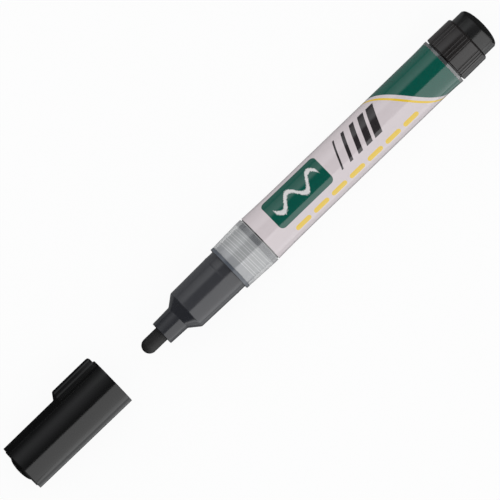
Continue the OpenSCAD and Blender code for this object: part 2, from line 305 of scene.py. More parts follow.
def turned(name, outline, body, material, turns=EVEN_TURNS, stands_for=(), ring=True):
    """A closed mesh turned round X from (x, radius, swell) points.

    A turn is an angle and the share of the swell that is added there. The outline of a ring closes
    on itself, and any other outline begins and ends on the axis.
    """
    bm = bmesh.new()
    rows = []
    for x, r, swell in outline:
        if r < ON_AXIS:
            rows.append([bm.verts.new((x * MM, 0, 0))])
            continue
        row = []
        for angle, share in turns:
            reach = (r + swell * share) * MM
            a = math.radians(angle)
            row.append(bm.verts.new((x * MM, reach * math.cos(a), reach * math.sin(a))))
        rows.append(row)
    pairs = list(zip(rows, rows[1:]))
    if ring:
        pairs.append((rows[-1], rows[0]))
    count = len(turns)
    for one, two in pairs:
        for k in range(count):
            n = (k + 1) % count
            loop = [one[k % len(one)], one[n % len(one)], two[n % len(two)], two[k % len(two)]]
            face = list(dict.fromkeys(loop))
            if len(face) > 2:
                bm.faces.new(face)
    return finish(name, bm, body, material, stands_for)


def tube(name, rows, body, material, stands_for=()):
    """A tube with closed ends. Each row holds places in metres, once round the tube."""
    bm = bmesh.new()
    rows = [[bm.verts.new(place) for place in row] for row in rows]
    count = len(rows[0])
    for one, two in zip(rows, rows[1:]):
        for k in range(count):
            n = (k + 1) % count
            bm.faces.new((one[k], one[n], two[n], two[k]))
    bm.faces.new(rows[0])
    bm.faces.new(list(reversed(rows[-1])))
    return finish(name, bm, body, material, stands_for)


# Shader arithmetic


class Sum:
    """A value in a node tree, so that a mask can be written as a sum."""

    def __init__(self, tree, socket):
        self.tree, self.socket = tree, socket

    def _math(self, kind, *others):
        node = self.tree.nodes.new("ShaderNodeMath")
        node.operation = kind
        for i, value in enumerate((self, *others)):
            if isinstance(value, Sum):
                self.tree.links.new(value.socket, node.inputs[i])
            else:
                node.inputs[i].default_value = value
        return Sum(self.tree, node.outputs[0])

    def __add__(self, other):
        return self._math("ADD", other)

    def __sub__(self, other):
        return self._math("SUBTRACT", other)

    def __mul__(self, other):
        return self._math("MULTIPLY", other)

    def __truediv__(self, other):
        return self._math("DIVIDE", other)

    def __neg__(self):
        return self * -1

    def both(self, other):
        return self._math("MINIMUM", other)

    def either(self, other):
        return self._math("MAXIMUM", other)

    def size(self):
        return self._math("ABSOLUTE")

    def wave(self):
        return self._math("SINE")

    def root(self):
        return self._math("SQRT")

    def bell(self):
        """1 where the value is zero, falling off smoothly on both sides."""
        return (-(self * self))._math("EXPONENT")

    def turned_from(self, other):
        """The angle, in radians, whose tangent is this value over the other."""
        return self._math("ARCTAN2", other)

    def repeat(self, length):
        """The distance from the middle of the nearest of many equal stretches."""
        return self._math("FLOORED_MODULO", length) - length / 2

    def edge(self, soft=0.03):
        """1 where the value is below zero, 0 above, with a narrow soft edge."""
        node = self.tree.nodes.new("ShaderNodeMapRange")
        node.interpolation_type = "SMOOTHSTEP"
        self.tree.links.new(self.socket, node.inputs["Value"])
        node.inputs["From Min"].default_value = -soft
        node.inputs["From Max"].default_value = soft
        node.inputs["To Min"].default_value = 1
        node.inputs["To Max"].default_value = 0
        return Sum(self.tree, node.outputs[0])


def new_material(name):
    material = bpy.data.materials.new(name)
    material.use_nodes = True
    tree = material.node_tree
    return material, tree, tree.nodes["Principled BSDF"]


def place(tree):
    """Row-frame coordinates of the shaded point, in mm."""
    coords = tree.nodes.new("ShaderNodeTexCoord")
    split = tree.nodes.new("ShaderNodeSeparateXYZ")
    tree.links.new(coords.outputs["Object"], split.inputs[0])
    x, y, z = (Sum(tree, split.outputs[i]) / MM for i in range(3))
    return coords, x, y, z


def noise(tree, coords, scale, detail=3, stretch=(1, 1, 1)):
    """Noise that is the same all over the row frame; scale is in features per metre."""
    mapping = tree.nodes.new("ShaderNodeMapping")
    mapping.inputs["Scale"].default_value = stretch
    tree.links.new(coords.outputs["Object"], mapping.inputs[0])
    node = tree.nodes.new("ShaderNodeTexNoise")
    node.inputs["Scale"].default_value = scale
    node.inputs["Detail"].default_value = detail
    tree.links.new(mapping.outputs[0], node.inputs["Vector"])
    return Sum(tree, node.outputs["Fac"])


def blend(tree, share, below, above):
    """A colour between two colours, each a tuple or a socket."""
    node = tree.nodes.new("ShaderNodeMix")
    node.data_type = "RGBA"
    tree.links.new(share.socket, node.inputs["Factor"])
    for key, value in (("A", below), ("B", above)):
        socket = next(s for s in node.inputs if s.name == key and s.type == "RGBA")
        if isinstance(value, tuple):
            socket.default_value = (*value, 1)
        else:
            tree.links.new(value, socket)
    return next(s for s in node.outputs if s.type == "RGBA")


def stretches(tree, x, start, end, stops):
    """Colour and opacity along X: each (station, r, g, b, opacity) holds until the next."""
    node = tree.nodes.new("ShaderNodeValToRGB")
    ramp = node.color_ramp
    ramp.interpolation = "CONSTANT"
    for i, (station, *shade) in enumerate(stops):
        share = max(0.0, (station - start) / (end - start))
        stop = ramp.elements[i] if i < 2 else ramp.elements.new(share)
        stop.position, stop.color = share, shade
    tree.links.new(((x - start) / (end - start)).socket, node.inputs[0])
    return node.outputs["Color"], node.outputs["Alpha"]


def set_colour(tree, shader, colour):
    tree.links.new(colour, shader.inputs["Base Color"])


def set_roughness(tree, shader, value, low, high):
    """Spreads a 0 to 1 noise value between two roughnesses, most of it in the middle."""
    tree.links.new((value * (high - low) + low).socket, shader.inputs["Roughness"])


def set_bump(tree, shader, height, strength, distance):
    bump = tree.nodes.new("ShaderNodeBump")
    bump.inputs["Strength"].default_value = strength
    bump.inputs["Distance"].default_value = distance
    tree.links.new(height.socket, bump.inputs["Height"])
    tree.links.new(bump.outputs[0], shader.inputs["Normal"])


# Materials: noise scales are in features per metre, and depths in metres

CLOUDS = 90
PATCHES = 240
SKIN = 2600
SKIN_DEPTH = 0.00002
MILK_CLOUDS = 130
MILK_PATCHES = 300
METAL_CLOUDS = 300
METAL_PATCHES = 900
STRANDS = 2400
STRAND_STRETCH = (0.22, 1, 1)
STRAND_DEPTH = 0.00006
PRINT_GRAIN = 900
CHALK_GRAIN = 2300
FILM_PATCHES = 420
SKIN_BUMP = 0.08
SHADED_SKIN_BUMP = 0.1
STRAND_BUMP = 0.5
HAZE = 0.12
BLACK_HAZE = (0.09, 0.09, 0.09)
MILK_HAZE = (0.6, 0.6, 0.6)
MILK_ROUGH = (0.12, 0.2)
MILK_IOR = 1.49
WALL_IOR = 1.9
WALL_COAT_ROUGH = 0.06
# Painted highlights: pale lines where the black thread's flanks catch light behind the collar
FLANK_HIGHLIGHT_SHADE = (0.9, 0.9, 0.89)
FLANK_HIGHLIGHT_COVER = 0.72
FILM_IOR = 1.5
FILM_ROUGH = (0.1, 0.18)
FILM_COAT = 0.7
FILM_COAT_ROUGH = 0.05
PAST_END = 1  # a ramp of colours starts and ends this far past its piece


def moulded(name, colour, second, low, high, ior=1.5):
    """Moulded plastic: two close shades, a roughness that varies and a faint skin."""
    material, tree, shader = new_material(name)
    coords, *_ = place(tree)
    set_colour(tree, shader, blend(tree, noise(tree, coords, CLOUDS, 4), colour, second))
    set_roughness(tree, shader, noise(tree, coords, PATCHES), low, high)
    shader.inputs["IOR"].default_value = ior
    set_bump(tree, shader, noise(tree, coords, SKIN, 2), SKIN_BUMP, SKIN_DEPTH)
    return material


def shaded(name, start, end, stops, low, high, ior):
    """Moulded plastic whose shade differs from one stretch along X to the next."""
    material, tree, shader = new_material(name)
    coords, x, _, _ = place(tree)
    colour, _ = stretches(tree, x, start - PAST_END, end + PAST_END, stops)
    haze = noise(tree, coords, CLOUDS, 4) * HAZE
    set_colour(tree, shader, blend(tree, haze, colour, BLACK_HAZE))
    set_roughness(tree, shader, noise(tree, coords, PATCHES), low, high)
    shader.inputs["IOR"].default_value = ior
    set_bump(tree, shader, noise(tree, coords, SKIN, 2), SHADED_SKIN_BUMP, SKIN_DEPTH)
    return material


def metal(name, colour, second, low, high):
    material, tree, shader = new_material(name)
    coords, *_ = place(tree)
    set_colour(tree, shader, blend(tree, noise(tree, coords, METAL_CLOUDS), colour, second))
    set_roughness(tree, shader, noise(tree, coords, METAL_PATCHES), low, high)
    shader.inputs["Metallic"].default_value = 1
    return material


def inked_felt():
    """Pressed fibre, inked black: fine lengthwise strands, the paler ones a painted sheen where they
    catch light.
    """
    material, tree, shader = new_material("felt")
    coords, *_ = place(tree)
    strands = noise(tree, coords, STRANDS, 3, STRAND_STRETCH)
    # the paler strand shade is a painted sheen
    ink, painted_sheen = (0.003, 0.003, 0.003), (0.020, 0.019, 0.019)
    set_colour(tree, shader, blend(tree, strands, ink, painted_sheen))
    set_roughness(tree, shader, strands, 0.45, 0.8)
    set_bump(tree, shader, strands, STRAND_BUMP, STRAND_DEPTH)
    return material


def milky(name, alpha, colour, second):
    """See-through milky plastic: a share of the light passes, the rest shows its own shade."""
    material, tree, shader = new_material(name)
    coords, *_ = place(tree)
    set_colour(tree, shader, blend(tree, noise(tree, coords, MILK_CLOUDS), colour, second))
    set_roughness(tree, shader, noise(tree, coords, MILK_PATCHES, 2), *MILK_ROUGH)
    shader.inputs["Alpha"].default_value = alpha
    shader.inputs["IOR"].default_value = MILK_IOR
    return material


def flank_highlights(x, y, z):
    """Mask of pale lines painted where the black thread's flanks catch light behind the collar,
    fading out.
    """
    half_turns, soft = 0.05, 0.035
    middle, reach, fade = front_x + 5.5, 3.4, 6
    round_axis = (z.turned_from(y) - math.radians(THREAD_FIRST)) / (2 * math.pi)
    wound = (x - thread_start) / THREAD_PITCH - round_axis
    from_rib = (wound + 0.5).repeat(1).size()
    line = (from_rib - LINE_OFFSET / THREAD_PITCH).size() - half_turns
    return line.either(((x - middle).size() - reach) / fade).edge(soft)


def barrel_plastic():
    """Milky plastic that takes on what lies behind each stretch of it, with painted shadows and
    highlights.
    """
    flange_shadow, ring_back = 2.2, 10.7
    groove_shadow, under_label, tail_band = 0.06, 0.02, 0.2
    material, tree, shader = new_material("milk")
    coords, x, y, z = place(tree)
    colour, opacity = stretches(tree, x, front_x - PAST_END, tail_x + PAST_END, (
        # painted shadow of the flange on the collar's front, up to flange_shadow
        (front_x - PAST_END, 0.49, 0.50, 0.515, 0.57),
        (front_x + flange_shadow, 0.58, 0.59, 0.595, 0.52),
        (front_x + LINING_LEN, 0.235, 0.242, 0.254, 0.62),
        (front_x + ring_back, 0.53, 0.53, 0.53, 0.65),
        # painted shadow in the groove between collar and label
        (collar_back - groove_shadow, 0.012, 0.012, 0.012, 0.8),
        (label_front - under_label, 0.36, 0.36, 0.36, 0.4),
        (label_back - tail_band, 0.030, 0.037, 0.039, 0.85),
    ))
    haze = noise(tree, coords, MILK_CLOUDS) * HAZE
    colour = blend(tree, haze, colour, MILK_HAZE)
    # painted highlights on the thread's flanks, seen through the collar
    painted_glints = flank_highlights(x, y, z) * FLANK_HIGHLIGHT_COVER
    set_colour(tree, shader, blend(tree, painted_glints, colour, FLANK_HIGHLIGHT_SHADE))
    tree.links.new(opacity, shader.inputs["Alpha"])
    set_roughness(tree, shader, noise(tree, coords, MILK_PATCHES, 2), *MILK_ROUGH)
    shader.inputs["IOR"].default_value = WALL_IOR
    shader.inputs["Coat Weight"].default_value = 1
    shader.inputs["Coat IOR"].default_value = WALL_IOR
    shader.inputs["Coat Roughness"].default_value = WALL_COAT_ROUGH
    return material


# Label art: x is the station on the marker, and s runs round it from its top line down the near side


def box_mask(u, v, half_u, half_v, corner):
    """Distance outside a box with round corners, centred where u and v are zero."""
    a = (u.size() - (half_u - corner)).either(0)
    b = (v.size() - (half_v - corner)).either(0)
    return (a * a + b * b).root() - corner


def panel_and_chalk(x, s, grain):
    """A round-cornered panel near the nose, and the wavy chalk line drawn through it."""
    middle_x, middle_s = -29.5, -2.6
    half_x, half_s, corner = 10.6, 5.4, 1.6
    rate, height, growth = 0.72, 2.1, 0.05
    thin, ragged, reach, soft, cover = 0.05, 1.5, 8.6, 0.22, 0.92
    u, v = x - middle_x, s - middle_s
    panel = box_mask(u, v, half_x, half_s, corner).edge()
    wave = (u * rate).wave() * (u * growth + height)
    stroke = (v - wave).size() - (grain * ragged + thin)
    return panel, stroke.either(u.size() - reach).edge(soft) * cover


def slanting_bars(x, s):
    """Slanting bars in the middle, each wider than the one before."""
    middle_x, middle_s = -4.4, -2.2
    slant, pitch, half, growth = 0.42, 3.6, 1.0, 0.075
    half_s, ahead, reach, soft = 4.4, 1.8, 9, 0.04
    u, v = x - middle_x, s - middle_s
    lean = u + v * slant
    bar = lean.repeat(pitch).size() - (lean * growth + half)
    return bar.either(v.size() - half_s).either((lean + ahead).size() - reach).edge(soft)


def dashes(x, s):
    """A row of rounded dashes low on the near side."""
    first_x, pitch, low_s = -16, 7.2, 5.9
    half_x, half_s, corner = 2.9, 0.95, 0.9
    middle_x, reach = -12.4, 25.2
    dash = box_mask((x - first_x).repeat(pitch), s - low_s, half_x, half_s, corner)
    return dash.either((x - middle_x).size() - reach).edge()


def tail_field(x, s):
    """A field round the tail with a straight slanting edge, and the thin stripe beside it."""
    slant, start = 0.85, 13.2
    stripe_ahead, stripe_half = 1.9, 0.45
    lean = x - s * slant - start
    return (-lean).edge(), ((lean + stripe_ahead).size() - stripe_half).edge()


def printed():
    """The label's face: a plain design of the builder's own, in the photograph's colours."""
    material, tree, shader = new_material("printed_film")
    coords, x, y, z = place(tree)
    s = (-y).turned_from(z) * BARREL_R
    grain = noise(tree, coords, PRINT_GRAIN, 4)
    chalk_grain = noise(tree, coords, CHALK_GRAIN)
    paper, green, yellow, black = (blend(tree, grain, shade, second) for shade, second in (
        ((0.675, 0.60, 0.615), (0.70, 0.625, 0.64)),
        ((0.0005, 0.080, 0.056), (0.001, 0.096, 0.068)),
        ((0.82, 0.550, 0.032), (0.86, 0.585, 0.050)),
        ((0.022, 0.018, 0.020), (0.034, 0.030, 0.032)),
    ))
    chalk = (0.80, 0.77, 0.765)
    panel, stroke = panel_and_chalk(x, s, chalk_grain)
    field, stripe = tail_field(x, s)
    face = paper
    for mask, colour in (
        (panel, green),
        (stroke, chalk),
        (slanting_bars(x, s), black),
        (dashes(x, s), yellow),
        (field, green),
        (stripe, yellow),
    ):
        face = blend(tree, mask, face, colour)
    set_colour(tree, shader, face)
    set_roughness(tree, shader, noise(tree, coords, FILM_PATCHES, 2), *FILM_ROUGH)
    shader.inputs["IOR"].default_value = FILM_IOR
    shader.inputs["Coat Weight"].default_value = FILM_COAT
    shader.inputs["Coat Roughness"].default_value = FILM_COAT_ROUGH
    return material


cap_black = moulded("cap_black", (0.0015, 0.0015, 0.0016), (0.0026, 0.0026, 0.0028), 0.1, 0.2, 1.56)
inner_black = moulded(
    "inner_black", (0.0012, 0.0012, 0.0012), (0.0022, 0.0022, 0.0022), 0.3, 0.45, 1.34)
seal_black = moulded("seal_black", (0.006, 0.006, 0.006), (0.010, 0.010, 0.010), 0.5, 0.7)
seat_red = moulded("seat_red", (0.40, 0.07, 0.045), (0.47, 0.10, 0.07), 0.45, 0.6)
natural = moulded("natural", (0.74, 0.74, 0.70), (0.80, 0.80, 0.76), 0.35, 0.5)
wire_steel = metal("wire_steel", (0.56, 0.56, 0.58), (0.66, 0.66, 0.68), 0.22, 0.36)
ball_chrome = metal("ball_chrome", (0.68, 0.68, 0.70), (0.74, 0.74, 0.76), 0.05, 0.14)
milk = barrel_plastic()
milk_layer = milky("milk_layer", 0.22, (0.5, 0.5, 0.5), (0.56, 0.56, 0.56))
# pale milky strips that paint the highlights on the thread's flanks
painted_flank_highlight = milky("painted_flank_highlight", 0.9, (0.80, 0.80, 0.79), (0.86, 0.86, 0.85))
film_print = printed()
felt = inked_felt()

# The nose is darker in front, and paler and bluer in the flange, where light comes through
nose_black = shaded("nose_black", tube_front, skirt_back, (
    (tube_front - PAST_END, 0.018, 0.019, 0.024, 1),
    (body_front, 0.037, 0.038, 0.044, 1),
    (flange_front, 0.088, 0.100, 0.120, 1),
    (front_x, 0.037, 0.038, 0.044, 1),
), 0.12, 0.24, 1.66)

# The grip is a touch warmer than the post
plug_black = shaded("plug_black", plug_front, plug_tip, (
    (plug_front - PAST_END, 0.0122, 0.0096, 0.0095, 1),
    (grip_back, 0.0048, 0.0048, 0.0048, 1),
), 0.14, 0.26, 1.6)

# Cap shell


def bend(one, corner, two, steps):
    """Points that turn a corner of the pad's section softly, each (angle, radius)."""
    flat = [Vector((r * math.cos(math.radians(a)), r * math.sin(math.radians(a))))
            for a, r in (one, corner, two)]
    return [(math.degrees(math.atan2(at.y, at.x)), at.length) for at in soft_turn(*flat, steps)]


def pad_section():
    """Half of the pad's section from its middle out: round crest, flat flank, lengthwise grooves."""
    grooves = 6
    groove = ((-0.3, 0), (-0.17, 0.13), (0, 0.2), (0.17, 0.13), (0.3, 0))
    before_crest, past_crest, round_foot = 2.4, 2.8, 3.5
    between_grooves = (0.35, 0.65)
    step = 2 * PAD_CREST / (grooves + 1)
    corner_step = int(PAD_CREST / step)
    flank = PAD_CREST + math.degrees(math.acos(PAD_FLANK_R / PAD_TOP_R))
    foot = flank - math.degrees(math.acos(PAD_FLANK_R / cap_mouth_r))

    def surface(a):
        if a < PAD_CREST:
            return PAD_TOP_R
        return max(cap_mouth_r, PAD_FLANK_R / math.cos(math.radians(flank - a)))

    def at(a):
        return a, surface(a)

    points = bend(at(PAD_CREST - before_crest), at(PAD_CREST), at(PAD_CREST + past_crest), 5)
    points += bend(at(foot - round_foot), at(foot), (foot + round_foot, cap_mouth_r), 4)
    for k in range(grooves):
        for offset, depth in groove:
            a = k * step + math.degrees(offset / surface(k * step))
            if a >= 0:
                points.append((a, surface(a) - depth))
        if k not in (corner_step, grooves - 1):
            points += [at((k + share) * step) for share in between_grooves]
    return sorted(points)


def cap_turns():
    """Angles round the cap, each with the share of the pad's full height that it has there."""
    plain_steps, margin = 80, 1.5
    rise = PAD_TOP_R - cap_mouth_r
    half = [(a, (r - cap_mouth_r) / rise) for a, r in pad_section()]
    marks = [(PAD_TURN + a, share) for a, share in half]
    marks += [(PAD_TURN - a, share) for a, share in half if a > 0]
    low, high = min(marks)[0], max(marks)[0]
    plain_turn = 360 - high + low - 2 * margin
    plain = [(high + margin + plain_turn * share, 0) for share in shares(plain_steps)]
    return sorted(marks + plain)


def cap_r(x):
    return CAP_END_R + CAP_TAPER * (x - cap_end) / (cap_mouth - cap_end)


ramp_top = pad_front + PAD_RAMP
cap_outline = [
    (cap_end, DOME_R + FIT, 0),
    (cap_end, CAP_END_R, 0.14),
    (pad_front, cap_r(pad_front), 0.25),
    (ramp_top, cap_r(ramp_top), 0.45, PAD_TOP_R - cap_r(ramp_top)),
    (pad_back - PAD_LIP, cap_r(pad_back), 0.95, PAD_TOP_R - cap_mouth_r),
    (pad_back, cap_r(pad_back), 0.12),
    (cap_mouth, cap_mouth_r, 0.3),
    (cap_mouth, CAP_BORE_R, 0.2),
    (cap_mouth - SNAP_BACK, CAP_BORE_R, 0.1),
    (cap_mouth - SNAP_BACK - SNAP_SLOPE, CAP_BORE_R + SNAP_DEPTH, 0.1),
    (cap_mouth - SNAP_FRONT + SNAP_SLOPE, CAP_BORE_R + SNAP_DEPTH, 0.1),
    (cap_mouth - SNAP_FRONT, CAP_BORE_R, 0.1),
    (cap_floor, CAP_BORE_R, 0.1),
    (cap_floor, DOME_R + FIT, 0),
]
turned("cap_body", rounded(cap_outline, 5), "cap", cap_black, turns=cap_turns(),
       stands_for=("cap_shell",))

# Ring in the cap's closed end, in a duller black
ring_outline = [
    (cap_end + RING_FOOT, CAP_END_R - RING_INNER_INSET, 0),
    (cap_rim, CAP_END_R - RING_INNER_INSET, 0.12),
    (cap_rim, CAP_END_R - RING_OUTER_INSET, 0.12),
    (cap_end + RING_FOOT, CAP_END_R - RING_OUTER_INSET, 0),
]
turned("cap_ring", rounded(ring_outline), "cap", inner_black,
       stands_for=("cap_shell",))

# Inner cap, with its dome in the closed end and its sleeve for the nib tube
sleeve_bore = TUBE_R + SLEEVE_GAP
sleeve_r = sleeve_bore + SLEEVE_WALL
disc_back = cap_floor + DISC_T
inner_cap_outline = crown(DOME_R, dome_tip - cap_end, cap_end)[::-1] + [
    (cap_floor, DOME_R, 0),
    (cap_floor, inner_r, 0.08),
    (disc_back, inner_r, 0.2),
    (disc_back, sleeve_r, 0.2),
    (sleeve_mouth, sleeve_r, 0.25),
    (sleeve_mouth, sleeve_bore, 0.35),
    (disc_back, sleeve_bore, 0.15),
    (disc_back, 0, 0),
]
turned("cap_inner", rounded(inner_cap_outline), "cap", inner_black,
       stands_for=("inner_cap",), ring=False)

# Nose
thread_foot_r = SKIRT_R - THREAD_RELIEF
relief_front, relief_back = front_x + THREAD_SETBACK, skirt_back - THREAD_SETBACK
nose_outline = [
    (tube_front, NIB_BORE_R, 0.15),
    (tube_front, TUBE_FRONT_R, 0.25),
    (cone_front, TUBE_R, 0.3),
    (body_front, BODY_FRONT_R, 0.35),
    (bead_x - BEAD_HALF, BODY_R, 0.1),
    (bead_x, BODY_R + BEAD_RISE, 0.25),
    (bead_x + BEAD_HALF, BODY_R, 0.1),
    (flange_front, BODY_R, 0.12),
    (flange_front, flange_r, 0.22),
    (front_x, flange_r, 0.06),
    (front_x, SKIRT_R, 0),
    (relief_front, SKIRT_R, 0.05),
    (relief_front + THREAD_SLOPE, thread_foot_r, 0.05),
    (relief_back - THREAD_SLOPE, thread_foot_r, 0.05),
    (relief_back, SKIRT_R, 0.05),
    (skirt_back, SKIRT_R, 0),
    (skirt_back, chamber_r + FIT, 0.1),
    (seat_front, chamber_r + FIT, 0.05),
    (seat_front, CAVITY_R, 0.1),
    (body_front + CAVITY_SETBACK, CAVITY_R, 0.6),
    (cone_front, NIB_BORE_R, 0.2),
]
turned("nose", rounded(nose_outline), "barrel", nose_black,
       stands_for=("nose_housing",))

# Thread on the skirt, and pale strips in the collar's wall that stand for painted highlights on its
# two flanks


def wound_rib(name, section, material):
    """A closed rib wound as the thread is. section(fade) gives its (x, radius) points."""
    rows = []
    for i in range(int(THREAD_TURNS * THREAD_SIDES) + 1):
        wound = i / THREAD_SIDES
        fade = min(1, wound / THREAD_FADE, (THREAD_TURNS - wound) / THREAD_FADE)
        a = math.radians(THREAD_FIRST + 360 * wound)
        station = thread_start + THREAD_PITCH * wound
        rows.append([
            ((station + x) * MM, r * MM * math.cos(a), r * MM * math.sin(a))
            for x, r in section(max(fade, THREAD_LEAST))
        ])
    tube(name, rows, "barrel", material)


def rib_section(fade):
    top = thread_foot_r + RIB_GAP + (THREAD_RELIEF - 2 * RIB_GAP) * fade
    root = thread_foot_r - RIB_ROOT
    return [(-RIB_FOOT_HALF, root), (-RIB_TOP_HALF, top), (RIB_TOP_HALF, top),
            (RIB_FOOT_HALF, root)]


# A pale strip in the collar's wall over one flank of the thread: a painted highlight
def highlight_section(offset):
    def section(fade):
        half = LINE_HALF + LINE_GROWTH * fade
        foot, top = SOCKET_R + LINE_FOOT, SOCKET_R + LINE_TOP
        return [(offset - half, foot), (offset - half, top), (offset + half, top),
                (offset + half, foot)]

    return section


wound_rib("nose_thread", rib_section, nose_black)
wound_rib("thread_flank_highlight_1", highlight_section(-LINE_OFFSET), painted_flank_highlight)
wound_rib("thread_flank_highlight_2", highlight_section(LINE_OFFSET), painted_flank_highlight)

# Nib
nib_outline = crown(nib_r, -nib_r, nib_tip + nib_r, 24)[::-1] + [
    (nib_back, nib_r, 0.1),
    (nib_back, 0, 0),
]
turned("nib_rod", rounded(nib_outline), "nib_set", felt, stands_for=("nib",),
       ring=False)

# Barrel, with its collar, its groove and the stretch under the label


def label_seat(lift):
    """The barrel's outline under the label, raised by a lift, as (x, radius, 0)."""
    front = [
        (label_front + SHOULDER_RUN * t,
         BARREL_R + lift + SHOULDER_RISE * (1 - t) ** SHOULDER_POWER, 0)
        for t in shares(14)
    ]
    back = [
        (label_back - TAIL_RUN * (1 - t), BARREL_R + lift + TAIL_RISE * t ** TAIL_POWER, 0)
        for t in shares(8)
    ]
    return front + back


collar = [
    (front_x + COLLAR_LEN * t, collar_r - COLLAR_TAPER * (1 - t) ** COLLAR_POWER)
    for t in shares(16)
]
barrel_outline = [
    (*collar[0], 0.15),
    *((x, r, 0) for x, r in collar[1:-1]),
    (*collar[-1], 0.12),
    (collar_back, GROOVE_R, 0.08),
    (label_front, GROOVE_R, 0.05),
    *label_seat(0),
    (label_back, TAIL_R, 0.04),
    (tail_x - TAIL_NOTCH, TAIL_R, 0.12),
    (tail_x - TAIL_NOTCH, BORE_R, 0.15),
    (skirt_back + SOCKET_PAST_SKIRT, BORE_R, 0.05),
    (skirt_back + SOCKET_PAST_SKIRT, SOCKET_R, 0.05),
    (front_x, SOCKET_R, 0.1),
]
turned("barrel", rounded(barrel_outline), "barrel", milk,
       stands_for=("barrel_tube",))

# Lining: a thin layer behind the collar that stands for the depth of its milky wall
lining_r = SKIRT_R + LINING_T
lining_outline = [
    (front_x + LINING_FRONT, lining_r, 0),
    (front_x + LINING_LEN, lining_r, 0),
    (front_x + LINING_LEN, lining_r + LINING_T, 0),
    (front_x + LINING_FRONT, lining_r + LINING_T, 0),
]
turned("barrel_lining", rounded(lining_outline), "barrel", milk_layer)

# Label, a film whose end overlaps its start in a fine step on the underside


def seam_turns():
    """Angles round the label, each with the share of the film's lift that it has there."""
    coarse, clear = 3, 1.2
    marks = [(-SEAM_BEFORE, 1), (0, 1), (SEAM_STEP, 0), (SEAM_AFTER, 0)]
    at_seam = [((SEAM_TURN + a + 360) % 360, share) for a, share in marks]
    kept_clear = [SEAM_TURN + a for a in (-SEAM_BEFORE, 0, SEAM_AFTER)]
    others = [
        (a, max(0.0, 1 - ((SEAM_TURN - a) % 360) / SEAM_FADE))
        for a in range(0, 360, coarse)
        if min(angle_between(a, mark) for mark in kept_clear) > clear
    ]
    return sorted(at_seam + others)


label_outer = [(x, r - FILM_LIFT, FILM_LIFT) for x, r, _ in label_seat(FILM)]
label_inner = label_seat(FILM_SEAT)[::-1]
turned("label", label_outer + label_inner, "barrel", film_print,
       turns=seam_turns(), stands_for=("label_sleeve",))

# Tail plug, with its fluted grip, its post and its crown


def flute_turns():
    """Angles round the plug, each with the share of a flute's depth, taken away, at it."""
    half_steps, plain_sides, clear = 5, 144, 1.3
    flute_half = math.degrees(FLUTE_R * FLUTE_SPREAD / grip_r)
    flutes = [
        (360 / FLUTE_GROUPS * group + FLUTE_TURN + FLUTE_PITCH * k)
        for group in range(FLUTE_GROUPS) for k in (-1, 0, 1)
    ]
    marks = [
        ((middle + flute_half * step / half_steps) % 360,
         -math.sqrt(1 - (step / half_steps) ** 2))
        for middle in flutes for step in range(-half_steps, half_steps + 1)
    ]
    plain = [
        (a, 0) for a in (360 * share for share in shares(plain_sides)[:-1])
        if min(angle_between(a, mark) for mark, _ in marks) > clear
    ]
    return sorted(marks + plain)


plug_bore_r = INSERT_R - PLUG_WALL
insert_groove_r = INSERT_R - INSERT_GROOVE_DEPTH
plug_outline = [
    (plug_front, INSERT_R, 0.3),
    (tail_x - INSERT_GROOVE_FRONT, INSERT_R, 0.15),
    (tail_x - INSERT_GROOVE_FRONT, insert_groove_r, 0.15),
    (tail_x - INSERT_GROOVE_BACK, insert_groove_r, 0.15),
    (tail_x - INSERT_GROOVE_BACK, INSERT_R, 0.1),
    (tail_x, INSERT_R, 0),
    (tail_x + STOP_GAP, SOCKET_R, 0.04),
    (grip_front, SOCKET_R, 0.06),
    (grip_front, grip_r - GRIP_EDGE, 0.04, FLUTE_DEPTH),
    (grip_front + GRIP_EDGE, grip_r, 0.12, FLUTE_DEPTH),
    (grip_back - GRIP_SHOULDER_LEN, grip_r - GRIP_DRAFT, 0.2, FLUTE_DEPTH),
    (grip_back - STOP_GAP, grip_r - GRIP_SHOULDER_DROP, 0.06, FLUTE_DEPTH),
    (grip_back, POST_R, 0.1),
    (post_back, POST_R, 0.2),
    *crown(POST_R - CROWN_INSET, CROWN_H, post_back),
    (post_back - CROWN_T, 0, 0),
    (post_back - CROWN_T, plug_bore_r, 0.5),
    (plug_front, plug_bore_r, 0.15),
]
turned("plug", rounded(plug_outline), "barrel", plug_black,
       turns=flute_turns(), stands_for=("tail_plug",))

# Inner works: the solids themselves, each with its own material
for node, material in (
    ("nose_gasket", seal_black),
    ("valve_seat", seat_red),
    ("valve_stem", natural),
    ("valve_housing", natural),
    ("mixing_ball", ball_chrome),
):
    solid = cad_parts[node]
    solid.data.materials.clear()
    solid.data.materials.append(material)

# Valve spring, one coil of round wire at the length it has in the solids; the mesh does not squash
# as the nib goes in


def coil_rows():
    """Rings of the wire along its helix, in metres."""
    coil_r = spring_out_r - WIRE_R
    coil_front, coil_back = spring_front + WIRE_R, spring_back - WIRE_R
    climb = (coil_back - coil_front) / (2 * math.pi * CURLS)
    slope = math.hypot(climb, coil_r)
    rows = []
    for i in range(CURLS * SIDES_PER_CURL + 1):
        a = 2 * math.pi * i / SIDES_PER_CURL
        centre = Vector((coil_front + climb * a, coil_r * math.cos(a), coil_r * math.sin(a)))
        outward = Vector((0, math.cos(a), math.sin(a)))
        aside = Vector((coil_r, climb * math.sin(a), -climb * math.cos(a))) / slope
        rows.append([
            (centre + WIRE_R * (math.cos(t) * outward + math.sin(t) * aside)) * MM
            for t in (2 * math.pi * k / WIRE_SIDES for k in range(WIRE_SIDES))
        ])
    return rows


coil = tube("valve_coil", coil_rows(), "barrel", wire_steel, ("valve_spring",))
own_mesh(coil)

# Floor: it looks white to the camera and through the collar, and lights the marker as a grey one

FLOOR_GAP = 0.02
FLOOR_HALF = 3000
FLOOR_GREY = 0.8
FLOOR_WHITE_SHARE = 0.93
floor_z = cad_box[0][2] / MM - FLOOR_GAP


